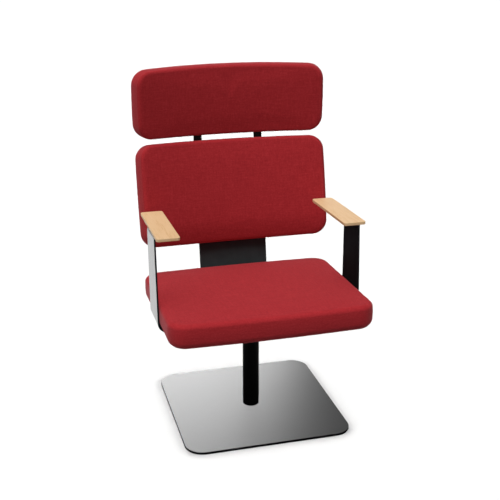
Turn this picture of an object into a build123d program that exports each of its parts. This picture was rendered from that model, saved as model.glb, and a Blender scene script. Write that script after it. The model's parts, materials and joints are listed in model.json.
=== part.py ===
"""High back lounge chair: a seat on bent steel plates over a swivel column, with bowed back and headrest."""
import math
import os

from build123d import *

# Base plate and the glides under it
BASE_WIDTH = 500.0
BASE_THICK = 7.0
BASE_CORNER_R = 54.0
BASE_EASE = 0.5
GLIDE_DIA = 30.0
GLIDE_PROUD = 1.0
GLIDE_INSET = 45.0

# Column, its plug and the bolt that holds both to the base
COLUMN_DIA = 50.0
COLUMN_WALL = 3.0
COLUMN_FOOT_CHAMFER = 1.2
PLUG_FLOOR = 25.0
PLUG_RIM = 20.0
PLUG_RIM_WALL = 2.5
COLUMN_BOLT_DIA = 12.0
COLUMN_BOLT_HEAD_DIA = 23.0
COLUMN_BOLT_HEAD = 5.5
COLUMN_BOLT_REACH = 18.0

# Swivel: bushes, spindle, clip
BUSH_LENGTH = 40.0
BUSH_FLANGE = 3.0
SPINDLE_DIA = 30.0
SPINDLE_TAIL = 12.0
COLLAR_HEIGHT = 10.0
COLLAR_STEP = 1.5
NECK_DIA = 36.0
NECK_LENGTH = 6.0
CLIP_DIA = 36.0
CLIP_THICK = 2.0
CLIP_GROOVE_DEPTH = 1.5
CLIP_GAP = 0.4

# Seat frame: tilted about the column, its origin under the seat board
SEAT_DATUM = 332.3
SEAT_TILT = 2.25
HUB_WIDTH = 180.0
HUB_THICK = 8.0
HUB_CORNER_R = 15.0
HUB_BOLT_SPACING = 130.0

# Seat board and cushion
SEAT_CENTRE_Y = -45.0
SEAT_WIDTH = 594.0
SEAT_DEPTH = 490.0
SEAT_BULGE = 9.0
SEAT_THICK = 75.0
SEAT_CORNER_R = 48.0
SEAT_TOP_R = 14.0
SEAT_BOTTOM_R = 25.0
SEAT_CROWN = 5.0
BOARD_SIDE_MARGIN = 42.0
BOARD_END_MARGIN = 45.0
BOARD_THICK = 12.0
BOARD_CORNER_R = 25.0

# Steel sheet of the arm plates and the back plate
SHEET = 5.0
SHEET_BEND_R = 25.5

# Arm plates and armrests
ARM_GAP = 1.0
ARM_CENTRE_Y = -51.0
ARM_FOOT_WIDTH = 132.0
ARM_TOP_WIDTH = 117.0
ARM_FOOT_REACH = 168.0
ARM_FLANGE_REACH = 53.0
ARM_FLANGE_BEND_R = 3.0
ARMREST_TOP = 287.4
ARMREST_WIDTH = 66.0
ARMREST_LENGTH = 291.0
ARMREST_THICK = 9.0
ARMREST_CENTRE_Y = -12.8
ARMREST_CORNER_R = 8.0
ARMREST_EASE = 1.5
ARMREST_SCREW_DIA = 5.0
ARMREST_SCREW_HEAD_DIA = 9.5
ARMREST_SCREW_HEAD = 3.0
ARMREST_SCREW_BITE = 6.0
ARMREST_SCREW_SPACING = 40.0

# Bolts and T-nuts of the seat
SEAT_BOLT_DIA = 8.0
SEAT_BOLT_HEAD_DIA = 13.0
SEAT_BOLT_HEAD = 8.0
SEAT_BOLT_SOCKET = 6.0
SEAT_NUT_DIA = 22.0
SEAT_NUT_BARREL_DIA = 10.0
SEAT_NUT_FLANGE = 1.5
NUT_BARREL_SHARE = 0.85
ARM_BOLT_SPACING_Y = 76.0
ARM_BOLT_SPACING_X = 65.0
ARM_BOLT_INSET = 25.0
PLATE_BOLT_SPACING = 140.0
PLATE_BOLT_INSET = 28.0

# Back plate with its two prongs
PLATE_WIDTH = 218.0
PLATE_LEAN = 7.0
PLATE_SEAT_GAP = 0.5
PLATE_FRONT_MARGIN = 10.0
PRONG_WIDTH = 25.0
PRONG_BEND_R = 60.0
FORK_RISE = 115.0
FORK_CORNER_R = 10.0

# Bowed pads: back and headrest
PAD_WIDTH = 577.0
PAD_THICK = 60.0
PAD_BOW_R = 857.0
PAD_CORNER_R = 42.0
PAD_FRONT_R = 8.0
PAD_REAR_R = 12.0
PAD_BULGE = 5.0
PAD_CROWN = 4.0
BACK_HEIGHT = 307.5
BACK_CENTRE_Z = 319.0
BACK_LEAN = 10.2
BACK_FRONT_DEPTH = 39.5
HEAD_HEIGHT = 200.0
HEAD_CENTRE_Z = 593.6
HEAD_LEAN = -3.05
HEAD_FRONT_DEPTH = 23.4
HEAD_BEND_OFFSET = 90.0
HEAD_PRONG_RISE = 45.0

# Plywood shells in the pads and their fixings
SHELL_WIDTH = 500.0
SHELL_THICK = 9.0
SHELL_CORNER_R = 35.0
SHELL_TRIM = 0.98
BACK_SHELL_HEIGHT = 250.0
BACK_SHELL_GAP = 0.5
HEAD_SHELL_HEIGHT = 150.0
PAD_SCREW_DIA = 6.0
PAD_SCREW_HEAD_DIA = 11.0
PAD_SCREW_HEAD = 4.0
BACK_SCREW_SPACING_X = 140.0
BACK_SCREW_SPACING_Z = 160.0
SPACER_DIA = 28.0
PAD_NUT_DIA = 20.0
PAD_NUT_BARREL_DIA = 8.0
PAD_NUT_FLANGE = 1.5
HEAD_SCREW_SPACING_Z = 70.0
HEAD_SCREW_OFFSET = 10.0

# Clearances
RUN_FIT = 0.05
SLIP_FIT = 0.05
BOLT_CLEAR = 0.3
THREAD_CLEAR = 0.1
FOAM_CLEAR = 0.4
CUSHION_LIFT = 0.5
CUT_LENGTH = 60.0
CUT_MARGIN = 1.0

SHAFT_FLOOR = GLIDE_PROUD + BASE_THICK
BORE_DIA = COLUMN_DIA - 2 * COLUMN_WALL
HUB_STACK = SHEET + HUB_THICK
COLUMN_TOP = SEAT_DATUM - HUB_STACK - NECK_LENGTH - COLLAR_HEIGHT - RUN_FIT - BUSH_FLANGE
PLUG_TOP = SHAFT_FLOOR + PLUG_FLOOR + PLUG_RIM
SEAT_REAR = SEAT_CENTRE_Y + SEAT_DEPTH / 2
BOARD_WIDTH = SEAT_WIDTH - 2 * BOARD_SIDE_MARGIN
BOARD_DEPTH = SEAT_DEPTH - 2 * BOARD_END_MARGIN
ARM_INNER = SEAT_WIDTH / 2 + ARM_GAP
ARM_OUTER = ARM_INNER + SHEET
ARM_TOP = ARMREST_TOP - ARMREST_THICK
SHELL_FRONT_R = PAD_BOW_R + BACK_FRONT_DEPTH - SHELL_THICK
LEAN_TAN = math.tan(math.radians(PLATE_LEAN))
LEAN_COS = math.cos(math.radians(PLATE_LEAN))
HEAD_TAN = math.tan(math.radians(HEAD_LEAN))
HEAD_COS = math.cos(math.radians(HEAD_LEAN))
RISE = (Align.CENTER, Align.CENTER, Align.MIN)
DROP = (Align.CENTER, Align.CENTER, Align.MAX)


def plate_front_y(z):
    """Depth of the back plate's front face at height z of the seat frame, below the prongs' bend."""
    return SEAT_REAR + PLATE_SEAT_GAP + (z - SEAT_BOTTOM_R) * LEAN_TAN


def prong_front_y(z):
    """Depth of the prongs' front face at height z, above their bend."""
    bend_z = HEAD_CENTRE_Z - HEAD_BEND_OFFSET
    middle = plate_front_y(bend_z) + SHEET / 2 / LEAN_COS
    return middle - SHEET / 2 / HEAD_COS + (z - bend_z) * HEAD_TAN


SEAT_FRAME = Location((0, 0, SEAT_DATUM), (-SEAT_TILT, 0, 0))
PLATE_FRAME = Location((0, plate_front_y(BACK_CENTRE_Z), BACK_CENTRE_Z), (-PLATE_LEAN, 0, 0))
PRONG_FRAME = Location((0, prong_front_y(HEAD_CENTRE_Z), HEAD_CENTRE_Z), (-HEAD_LEAN, 0, 0))
BACK_FRAME = Location(
    (0, plate_front_y(BACK_CENTRE_Z) - BACK_FRONT_DEPTH, BACK_CENTRE_Z), (-BACK_LEAN, 0, 0))
HEAD_FRAME = Location(
    (0, prong_front_y(HEAD_CENTRE_Z) - HEAD_FRONT_DEPTH, HEAD_CENTRE_Z), (-HEAD_LEAN, 0, 0))
BACKWARD = Location((0, 0, 0), (-90, 0, 0))
FORWARD = Location((0, 0, 0), (90, 0, 0))


def disc(dia, height):
    """Cylinder standing on the plane z = 0."""
    return Cylinder(dia / 2, height, align=RISE)


def slab(width, depth, height, corner):
    """Flat plate standing on z = 0 with rounded plan corners."""
    return extrude(RectangleRounded(width, depth, corner), height)


def pan_screw(dia, length, head_dia, head):
    """Flat headed screw: bearing face on z = 0, shank upwards, head downwards."""
    return disc(dia, length) + Cylinder(head_dia / 2, head, align=DROP)


def cap_bolt(dia, length, head_dia, head, socket):
    """Socket head bolt: the same with a hexagon socket in its head."""
    body = pan_screw(dia, length, head_dia, head)
    drive = Pos(0, 0, -head) * extrude(RegularPolygon(socket / 2, 6), head / 2)
    return body - drive


def tee_nut(flange_dia, flange, barrel_dia, length, bore):
    """T-nut: flange's bearing face on z = 0, flange upwards, barrel downwards."""
    body = disc(flange_dia, flange) + Cylinder(barrel_dia / 2, length, align=DROP)
    return body - Pos(0, 0, -length) * disc(bore, length + flange)


def grid(spacing_x, spacing_y):
    """Four places on a rectangle about the origin."""
    return [(x * spacing_x / 2, y * spacing_y / 2) for x in (-1, 1) for y in (-1, 1)]


def group(shapes):
    """Several equal solids in one node."""
    return Compound(children=list(shapes))


def bent_slab(width, height, thick, front_r):
    """Sheet bent about a vertical axis ahead of it; origin on the middle of its front, +Y rearwards."""
    half = width / 2 / front_r
    rear_r = front_r + thick
    front_x = front_r * math.sin(half)
    front_y = front_r * math.cos(half) - front_r
    rear_x = rear_r * math.sin(half)
    rear_y = rear_r * math.cos(half) - front_r
    front = ThreePointArc((-front_x, front_y), (0, 0), (front_x, front_y))
    right = Line((front_x, front_y), (rear_x, rear_y))
    rear = ThreePointArc((rear_x, rear_y), (0, thick), (-rear_x, rear_y))
    left = Line((-rear_x, rear_y), (-front_x, front_y))
    return extrude(make_face([front, right, rear, left]), height / 2, both=True)


def shell_panel(height, front_r):
    """Bent plywood shell with rounded corners."""
    panel = bent_slab(SHELL_WIDTH, height, SHELL_THICK, front_r)
    outline = Plane.XZ * RectangleRounded(SHELL_WIDTH * SHELL_TRIM, height, SHELL_CORNER_R)
    return panel & extrude(outline, PAD_BOW_R, both=True)


def bowed_pad(height):
    """Upholstered pad bowed about a vertical axis, crowned in front, with bulging top and bottom edges."""
    half = PAD_WIDTH / 2 / PAD_BOW_R
    tall = height / 2 + PAD_BULGE
    blank = tall + PAD_BULGE
    front = ThreePointArc((0, -blank), (-PAD_CROWN, 0), (0, blank))
    top = Line((0, blank), (PAD_THICK, blank))
    rear = Line((PAD_THICK, blank), (PAD_THICK, -blank))
    bottom = Line((PAD_THICK, -blank), (0, -blank))
    axis = Axis((0, -PAD_BOW_R, 0), (0, 0, 1))
    turn = math.degrees(2 * half)
    pad = revolve(Plane.YZ * make_face([front, top, rear, bottom]), axis, turn).rotate(axis, -turn / 2)
    side = (PAD_BOW_R + PAD_THICK) * math.sin(half) + CUT_MARGIN
    upper = ThreePointArc((-side, height / 2), (0, tall), (side, height / 2))
    lower = ThreePointArc((side, -height / 2), (0, -tall), (-side, -height / 2))
    ends = [Line((side, height / 2), (side, -height / 2)), Line((-side, -height / 2), (-side, height / 2))]
    pad = pad & extrude(Plane.XZ * make_face([upper, ends[0], lower, ends[1]]), PAD_BOW_R, both=True)
    reach = PAD_BOW_R + PAD_THICK / 2
    corners = [(sx * reach * math.sin(half), reach * math.cos(half) - PAD_BOW_R, sz * height / 2)
               for sx in (-1, 1) for sz in (-1, 1)]
    pad = fillet([pad.edges().sort_by_distance(corner)[0] for corner in corners], PAD_CORNER_R)
    pad = fillet(pad.faces().sort_by_distance((0, -PAD_CROWN, 0))[0].edges(), PAD_FRONT_R)
    return fillet(pad.faces().sort_by_distance((0, PAD_THICK, 0))[0].edges(), PAD_REAR_R)


def base_unit():
    """Everything that stays on the floor, in world places."""
    glide_at = BASE_WIDTH / 2 - GLIDE_INSET
    glide_places = grid(2 * glide_at, 2 * glide_at) + [(0.0, 0.0)]
    plate = Pos(0, 0, GLIDE_PROUD) * slab(BASE_WIDTH, BASE_WIDTH, BASE_THICK, BASE_CORNER_R)
    plate = chamfer(plate.faces().sort_by(Axis.Z)[-1].edges(), BASE_EASE)
    head_r = COLUMN_BOLT_HEAD_DIA / 2
    hole_r = COLUMN_BOLT_DIA / 2 + BOLT_CLEAR
    plate -= Pos(0, 0, GLIDE_PROUD) * Cylinder(hole_r, BASE_THICK, align=RISE)
    plate -= Pos(0, 0, GLIDE_PROUD) * Cone(head_r, hole_r, COLUMN_BOLT_HEAD, align=RISE)

    tube = Pos(0, 0, SHAFT_FLOOR) * disc(COLUMN_DIA, COLUMN_TOP - SHAFT_FLOOR)
    tube = chamfer(tube.edges().sort_by(Axis.Z)[0], COLUMN_FOOT_CHAMFER)
    tube -= Pos(0, 0, SHAFT_FLOOR) * disc(BORE_DIA, COLUMN_TOP - SHAFT_FLOOR)

    plug_dia = BORE_DIA - 2 * SLIP_FIT
    plug = Pos(0, 0, SHAFT_FLOOR) * disc(plug_dia, PLUG_FLOOR + PLUG_RIM)
    plug -= Pos(0, 0, SHAFT_FLOOR + PLUG_FLOOR) * disc(plug_dia - 2 * PLUG_RIM_WALL, PLUG_RIM)
    plug -= Pos(0, 0, SHAFT_FLOOR) * disc(COLUMN_BOLT_DIA + 2 * THREAD_CLEAR, PLUG_FLOOR)

    bolt = Cone(head_r - BOLT_CLEAR, COLUMN_BOLT_DIA / 2, COLUMN_BOLT_HEAD, align=RISE)
    bolt += disc(COLUMN_BOLT_DIA, BASE_THICK + COLUMN_BOLT_REACH)
    bolt -= extrude(RegularPolygon(COLUMN_BOLT_DIA / 3, 6), COLUMN_BOLT_HEAD / 2)
    bolt = Pos(0, 0, GLIDE_PROUD) * bolt

    bush_bore = SPINDLE_DIA + 2 * RUN_FIT
    ring = disc(plug_dia, BUSH_LENGTH) - disc(bush_bore, BUSH_LENGTH)
    lower = Pos(0, 0, PLUG_TOP) * ring
    flange = disc(COLUMN_DIA, BUSH_FLANGE) - disc(bush_bore, BUSH_FLANGE)
    upper = Pos(0, 0, COLUMN_TOP - BUSH_LENGTH) * ring + Pos(0, 0, COLUMN_TOP) * flange
    return {
        "base_plate": plate,
        "base_glides": group(Pos(x, y, 0) * disc(GLIDE_DIA, GLIDE_PROUD) for x, y in glide_places),
        "column_tube": tube,
        "column_plug": plug,
        "column_bolt": bolt,
        "lower_bush": lower,
        "upper_bush": upper,
    }


def swivel_unit():
    """Spindle and clip, upright in the column; the spindle's neck is cut to the tilted hub plate."""
    foot = PLUG_TOP - SPINDLE_TAIL
    shoulder = COLUMN_TOP + BUSH_FLANGE + RUN_FIT
    spindle = Pos(0, 0, foot) * disc(SPINDLE_DIA, shoulder - foot)
    spindle += Pos(0, 0, shoulder) * disc(COLUMN_DIA - 2 * COLLAR_STEP, COLLAR_HEIGHT)
    spindle += Pos(0, 0, shoulder) * disc(NECK_DIA, SEAT_DATUM - shoulder)
    spindle -= SEAT_FRAME * Pos(0, 0, -HUB_STACK) * disc(HUB_WIDTH, HUB_STACK + NECK_DIA)
    groove_z = PLUG_TOP - CLIP_GAP - CLIP_THICK
    groove_dia = SPINDLE_DIA - 2 * CLIP_GROOVE_DEPTH
    cut = disc(SPINDLE_DIA, CLIP_THICK) - disc(groove_dia, CLIP_THICK)
    clip = disc(CLIP_DIA, CLIP_THICK) - disc(groove_dia + 2 * THREAD_CLEAR, CLIP_THICK)
    mouth = Pos(0, -CLIP_DIA / 2, 0) * Box(SPINDLE_DIA * 0.6, CLIP_DIA, CLIP_THICK, align=RISE)
    return {
        "spindle": spindle - Pos(0, 0, groove_z) * cut,
        "spindle_clip": Pos(0, 0, groove_z) * (clip - mouth),
    }


def bolt_places():
    """Bolt places under the seat, in the seat frame: hub, arm plates, back plate."""
    hub = grid(HUB_BOLT_SPACING, HUB_BOLT_SPACING)
    first = ARM_OUTER - ARM_FOOT_REACH + ARM_BOLT_INSET
    arms = [(side * (first + step * ARM_BOLT_SPACING_X), ARM_CENTRE_Y + row * ARM_BOLT_SPACING_Y / 2)
            for side in (-1, 1) for step in (0, 1) for row in (-1, 1)]
    rear = SEAT_CENTRE_Y + BOARD_DEPTH / 2 - PLATE_BOLT_INSET
    plate = [(side * PLATE_BOLT_SPACING / 2, rear) for side in (-1, 1)]
    return hub, arms, plate


def seat_unit():
    """Hub plate, board, nuts, bolts and cushion, in the seat frame."""
    hub_at, arms_at, plate_at = bolt_places()
    hole = SEAT_BOLT_DIA + 2 * BOLT_CLEAR
    hub = Pos(0, 0, -HUB_STACK) * slab(HUB_WIDTH, HUB_WIDTH, HUB_THICK, HUB_CORNER_R)
    for x, y in hub_at:
        hub -= Pos(x, y, -HUB_STACK) * disc(hole, HUB_THICK)

    board = Pos(0, SEAT_CENTRE_Y, 0) * slab(BOARD_WIDTH, BOARD_DEPTH, BOARD_THICK, BOARD_CORNER_R)
    seat_z = BOARD_THICK - SEAT_NUT_FLANGE
    thread = SEAT_BOLT_DIA + 2 * THREAD_CLEAR
    nut = tee_nut(SEAT_NUT_DIA, SEAT_NUT_FLANGE, SEAT_NUT_BARREL_DIA, seat_z * NUT_BARREL_SHARE, thread)
    nuts = []
    for x, y in hub_at + arms_at + plate_at:
        board -= Pos(x, y, 0) * disc(SEAT_NUT_BARREL_DIA + 2 * SLIP_FIT, BOARD_THICK)
        board -= Pos(x, y, seat_z) * disc(SEAT_NUT_DIA + 2 * SLIP_FIT, SEAT_NUT_FLANGE)
        nuts.append(Pos(x, y, seat_z) * nut)

    spec = (SEAT_BOLT_HEAD_DIA, SEAT_BOLT_HEAD, SEAT_BOLT_SOCKET)
    short = cap_bolt(SEAT_BOLT_DIA, SHEET + BOARD_THICK - SEAT_NUT_FLANGE, *spec)
    long = cap_bolt(SEAT_BOLT_DIA, HUB_STACK + BOARD_THICK - SEAT_NUT_FLANGE, *spec)

    side = SEAT_WIDTH / 2
    front = SEAT_CENTRE_Y - SEAT_DEPTH / 2
    ahead = ThreePointArc((-side, front + SEAT_BULGE), (0, front), (side, front + SEAT_BULGE))
    behind = ThreePointArc((side, SEAT_REAR - SEAT_BULGE), (0, SEAT_REAR), (-side, SEAT_REAR - SEAT_BULGE))
    right = Line((side, front + SEAT_BULGE), (side, SEAT_REAR - SEAT_BULGE))
    left = Line((-side, SEAT_REAR - SEAT_BULGE), (-side, front + SEAT_BULGE))
    plan = make_face([ahead, right, behind, left])
    cushion = extrude(plan, SEAT_THICK + SEAT_CROWN)
    cushion = fillet(cushion.edges().filter_by(Axis.Z), SEAT_CORNER_R)
    dome_r = (side ** 2 + (SEAT_DEPTH / 2) ** 2) / (2 * SEAT_CROWN)
    cushion = cushion & Pos(0, SEAT_CENTRE_Y, SEAT_THICK + SEAT_CROWN / 2 - dome_r) * Sphere(dome_r)
    cushion = fillet(cushion.faces().sort_by(Axis.Z)[-1].edges(), SEAT_TOP_R)
    cushion = fillet(cushion.faces().sort_by(Axis.Z)[0].edges(), SEAT_BOTTOM_R)
    cushion = Pos(0, 0, CUSHION_LIFT) * cushion
    grow = 2 * FOAM_CLEAR
    recess = slab(BOARD_WIDTH + grow, BOARD_DEPTH + grow, BOARD_THICK, BOARD_CORNER_R)
    cushion -= Pos(0, SEAT_CENTRE_Y, 0) * recess
    return {
        "hub_plate": hub,
        "hub_bolts": group(Pos(x, y, -HUB_STACK) * long for x, y in hub_at),
        "seat_board": board,
        "seat_tnuts": group(nuts),
        "arm_bolts": group(Pos(x, y, -SHEET) * short for x, y in arms_at),
        "plate_bolts": group(Pos(x, y, -SHEET) * short for x, y in plate_at),
        "seat_cushion": cushion,
    }


def arm_unit():
    """Arm plates, armrest boards and their screws, in the seat frame."""
    half = SHEET / 2
    web = ARM_INNER + half
    path = FilletPolyline(
        (ARM_OUTER - ARM_FOOT_REACH, -half), (web, -half), (web, ARM_TOP - half),
        (ARM_OUTER - ARM_FLANGE_REACH, ARM_TOP - half),
        radius=(SHEET_BEND_R + half, ARM_FLANGE_BEND_R + half))
    strip = Plane.XZ * trace(path, SHEET)
    arm = Pos(0, ARM_CENTRE_Y, 0) * extrude(strip, ARM_FOOT_WIDTH / 2, both=True)
    low = (ARM_FOOT_WIDTH / 2, -SHEET)
    high = (ARM_TOP_WIDTH / 2, ARM_TOP)
    outline = Plane.YZ * make_face(Polyline(low, high, (-high[0], high[1]), (-low[0], low[1]), close=True))
    arm = arm & Pos(0, ARM_CENTRE_Y, 0) * extrude(outline, ARM_OUTER + CUT_MARGIN)
    for x, y in bolt_places()[1]:
        arm -= Pos(x, y, -SHEET) * disc(SEAT_BOLT_DIA + 2 * BOLT_CLEAR, SHEET)

    screw_x = ARM_OUTER - SHEET - ARM_FLANGE_REACH / 2
    screws_at = [(screw_x, ARM_CENTRE_Y + n * ARMREST_SCREW_SPACING) for n in (-1, 0, 1)]
    rest = slab(ARMREST_WIDTH, ARMREST_LENGTH, ARMREST_THICK, ARMREST_CORNER_R)
    rest = fillet(rest.edges().group_by(Axis.Z)[-1] + rest.edges().group_by(Axis.Z)[0], ARMREST_EASE)
    rest = Pos(ARM_OUTER - ARMREST_WIDTH / 2, ARMREST_CENTRE_Y, ARM_TOP) * rest
    reach = SHEET + ARMREST_SCREW_BITE
    screw = pan_screw(ARMREST_SCREW_DIA, reach, ARMREST_SCREW_HEAD_DIA, ARMREST_SCREW_HEAD)
    for x, y in screws_at:
        arm -= Pos(x, y, ARM_TOP - SHEET) * disc(ARMREST_SCREW_DIA + 2 * BOLT_CLEAR, SHEET)
        rest -= Pos(x, y, ARM_TOP) * disc(ARMREST_SCREW_DIA + 2 * THREAD_CLEAR, ARMREST_SCREW_BITE)
    screws = [Pos(side * x, y, ARM_TOP - SHEET) * screw for side in (-1, 1) for x, y in screws_at]
    return {
        "right_arm_plate": arm,
        "left_arm_plate": mirror(arm, about=Plane.YZ),
        "right_armrest": rest,
        "left_armrest": mirror(rest, about=Plane.YZ),
        "armrest_screws": group(screws),
    }


def back_screw_places():
    """Screws of the back shell, on the plate's front face in the plate frame."""
    return grid(BACK_SCREW_SPACING_X, BACK_SCREW_SPACING_Z)


def head_screw_places():
    """Screws of the headrest shell in the middle of the prongs, in the prong frame."""
    prong_x = PLATE_WIDTH / 2 - PRONG_WIDTH / 2
    return [(x, z - HEAD_SCREW_OFFSET) for x, z in grid(2 * prong_x, HEAD_SCREW_SPACING_Z)]


def forked_sheet(grow):
    """Bent sheet from under the seat up into the headrest, forked into two prongs, grown all round."""
    half = SHEET / 2
    bend_z = HEAD_CENTRE_Z - HEAD_BEND_OFFSET
    middle = half / LEAN_COS
    start = (-HUB_WIDTH / 2 - PLATE_FRONT_MARGIN - grow, -half)
    turn = (plate_front_y(-half) + middle, -half)
    bend = (plate_front_y(bend_z) + middle, bend_z)
    top_z = HEAD_CENTRE_Z + (HEAD_PRONG_RISE + grow) * HEAD_COS
    end = (bend[0] + (top_z - bend_z) * HEAD_TAN, top_z)
    path = FilletPolyline(start, turn, bend, end, radius=(SHEET_BEND_R + half, PRONG_BEND_R))
    sheet = extrude(Plane.YZ * trace(path, SHEET + 2 * grow), PLATE_WIDTH / 2 + grow, both=True)
    gap = PLATE_WIDTH - 2 * PRONG_WIDTH - 2 * grow
    fork = RectangleRounded(gap, HEAD_CENTRE_Z, FORK_CORNER_R)
    opening = Plane.XZ * (Pos(0, FORK_RISE + grow + HEAD_CENTRE_Z / 2) * fork)
    return sheet - PLATE_FRAME * extrude(opening, CUT_LENGTH, both=True)


def back_plate():
    """The forked sheet with its bolt and screw holes."""
    plate = forked_sheet(0.0)
    for x, y in bolt_places()[0] + bolt_places()[2]:
        plate -= Pos(x, y, -SHEET) * disc(SEAT_BOLT_DIA + 2 * BOLT_CLEAR, SHEET)
    for x, z in back_screw_places():
        plate -= PLATE_FRAME * Pos(x, 0, z) * BACKWARD * disc(PAD_SCREW_DIA + 2 * BOLT_CLEAR, SHEET)
    for x, z in head_screw_places():
        plate -= PRONG_FRAME * Pos(x, 0, z) * BACKWARD * disc(PAD_SCREW_DIA + 2 * THREAD_CLEAR, SHEET)
    return plate


def back_unit():
    """Back shell on spacers in front of the plate, and the cushion round both, in the seat frame."""
    rear_r = SHELL_FRONT_R + SHELL_THICK
    edge = BACK_SCREW_SPACING_X / 2 + SPACER_DIA / 2
    spacer_length = BACK_SHELL_GAP + rear_r - math.sqrt(rear_r ** 2 - edge ** 2)
    inner = BACK_SCREW_SPACING_X / 2 - PAD_NUT_DIA / 2
    front_y = BACK_SHELL_GAP + SHELL_THICK + SHELL_FRONT_R - math.sqrt(SHELL_FRONT_R ** 2 - inner ** 2)
    nut_y = front_y - PAD_NUT_FLANGE
    shell_at = Pos(0, -BACK_SHELL_GAP - SHELL_THICK, 0)

    shell = shell_at * shell_panel(BACK_SHELL_HEIGHT, SHELL_FRONT_R)
    spacer = disc(SPACER_DIA, spacer_length) - disc(PAD_SCREW_DIA + 2 * BOLT_CLEAR, spacer_length)
    barrel = nut_y - spacer_length
    thread = PAD_SCREW_DIA + 2 * THREAD_CLEAR
    nut = tee_nut(PAD_NUT_DIA, PAD_NUT_FLANGE, PAD_NUT_BARREL_DIA, barrel * NUT_BARREL_SHARE, thread)
    screw = pan_screw(PAD_SCREW_DIA, SHEET + nut_y, PAD_SCREW_HEAD_DIA, PAD_SCREW_HEAD)
    spacers = []
    nuts = []
    screws = []
    pockets = []
    for x, z in back_screw_places():
        spot = Pos(x, 0, z) * FORWARD
        shell -= spot * disc(SPACER_DIA + 2 * SLIP_FIT, spacer_length)
        shell -= spot * disc(PAD_NUT_BARREL_DIA + 2 * SLIP_FIT, nut_y)
        shell -= spot * Pos(0, 0, nut_y) * disc(PAD_NUT_DIA + 2 * SLIP_FIT, SHELL_THICK)
        spacers.append(PLATE_FRAME * spot * spacer)
        nuts.append(PLATE_FRAME * spot * Pos(0, 0, nut_y) * nut)
        screws.append(PLATE_FRAME * Pos(x, SHEET, z) * FORWARD * screw)
        head_room = disc(PAD_SCREW_HEAD_DIA + 2 * FOAM_CLEAR, SHEET + PAD_SCREW_HEAD + FOAM_CLEAR)
        pockets.append(Pos(x, 0, z) * BACKWARD * head_room)

    grow = 2 * FOAM_CLEAR
    room = bent_slab(SHELL_WIDTH + grow, BACK_SHELL_HEIGHT, SHELL_THICK + grow, SHELL_FRONT_R - FOAM_CLEAR)
    room = Pos(0, -FOAM_CLEAR, 0) * shell_at * room
    middle = BACK_SHELL_GAP + SHELL_THICK / 2
    joined = (Align.CENTER, Align.MIN, Align.CENTER)
    room += Pos(0, -middle, 0) * Box(PLATE_WIDTH + grow, middle + SHEET, BACK_SHELL_HEIGHT, align=joined)
    for pocket in pockets:
        room += pocket
    cushion = BACK_FRAME * bowed_pad(BACK_HEIGHT) - (forked_sheet(FOAM_CLEAR) + PLATE_FRAME * room)
    return {
        "back_plate": back_plate(),
        "back_shell": PLATE_FRAME * shell,
        "back_spacers": group(spacers),
        "back_tnuts": group(nuts),
        "back_screws": group(screws),
        "back_cushion": cushion,
    }


def headrest_unit():
    """Headrest shell let in behind the prongs, and the cushion round both, in the seat frame."""
    inner = PLATE_WIDTH / 2 - PRONG_WIDTH
    front_r = PAD_BOW_R + HEAD_FRONT_DEPTH + SHEET
    shell_y = SHEET + front_r - math.sqrt(front_r ** 2 - inner ** 2)
    shell = Pos(0, shell_y, 0) * shell_panel(HEAD_SHELL_HEIGHT, front_r)
    prong_x = PLATE_WIDTH / 2 - PRONG_WIDTH / 2
    low = HEAD_HEIGHT / 2 + CUT_LENGTH
    seat_edge = prong_x + PAD_SCREW_HEAD_DIA / 2
    rear_r = front_r + SHELL_THICK
    spot_y = shell_y + SHELL_THICK - rear_r + math.sqrt(rear_r ** 2 - seat_edge ** 2) - BOLT_CLEAR
    grow = 2 * FOAM_CLEAR
    room = bent_slab(SHELL_WIDTH + grow, HEAD_SHELL_HEIGHT, SHELL_THICK + grow, front_r - FOAM_CLEAR)
    room = Pos(0, shell_y - FOAM_CLEAR, 0) * room
    for side in (-1, 1):
        tall = low + HEAD_PRONG_RISE + SLIP_FIT
        groove = Box(PRONG_WIDTH + 2 * SLIP_FIT, SHEET + SHELL_THICK, tall, align=RISE)
        shell -= Pos(side * prong_x, SHEET - (SHEET + SHELL_THICK) / 2, -low) * groove
    screw = pan_screw(PAD_SCREW_DIA, spot_y - BOLT_CLEAR, PAD_SCREW_HEAD_DIA, PAD_SCREW_HEAD)
    screws = []
    for x, z in head_screw_places():
        spot = Pos(x, spot_y, z)
        shell -= spot * FORWARD * disc(PAD_SCREW_DIA + 2 * BOLT_CLEAR, spot_y)
        shell -= spot * BACKWARD * disc(PAD_SCREW_HEAD_DIA + 2 * BOLT_CLEAR, SHELL_THICK)
        room += spot * BACKWARD * disc(PAD_SCREW_HEAD_DIA + 2 * FOAM_CLEAR, PAD_SCREW_HEAD + FOAM_CLEAR)
        screws.append(PRONG_FRAME * spot * FORWARD * screw)
    cushion = HEAD_FRAME * bowed_pad(HEAD_HEIGHT) - (forked_sheet(FOAM_CLEAR) + PRONG_FRAME * room)
    return {
        "headrest_shell": PRONG_FRAME * shell,
        "headrest_screws": group(screws),
        "headrest_cushion": cushion,
    }


def main():
    """Build every node and write it in the chair's frame."""
    os.makedirs("parts", exist_ok=True)
    nodes = base_unit() | swivel_unit()
    for unit in (seat_unit, arm_unit, back_unit, headrest_unit):
        nodes |= {name: SEAT_FRAME * shape for name, shape in unit().items()}
    for name, shape in nodes.items():
        export_step(shape, f"parts/{name}.step")


main()
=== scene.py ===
import json
import logging
import math
from dataclasses import dataclass
from enum import Enum
from typing import ClassVar, Dict, List, Optional, Tuple

import bpy
import numpy as np
from mathutils import Matrix, Vector


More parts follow.
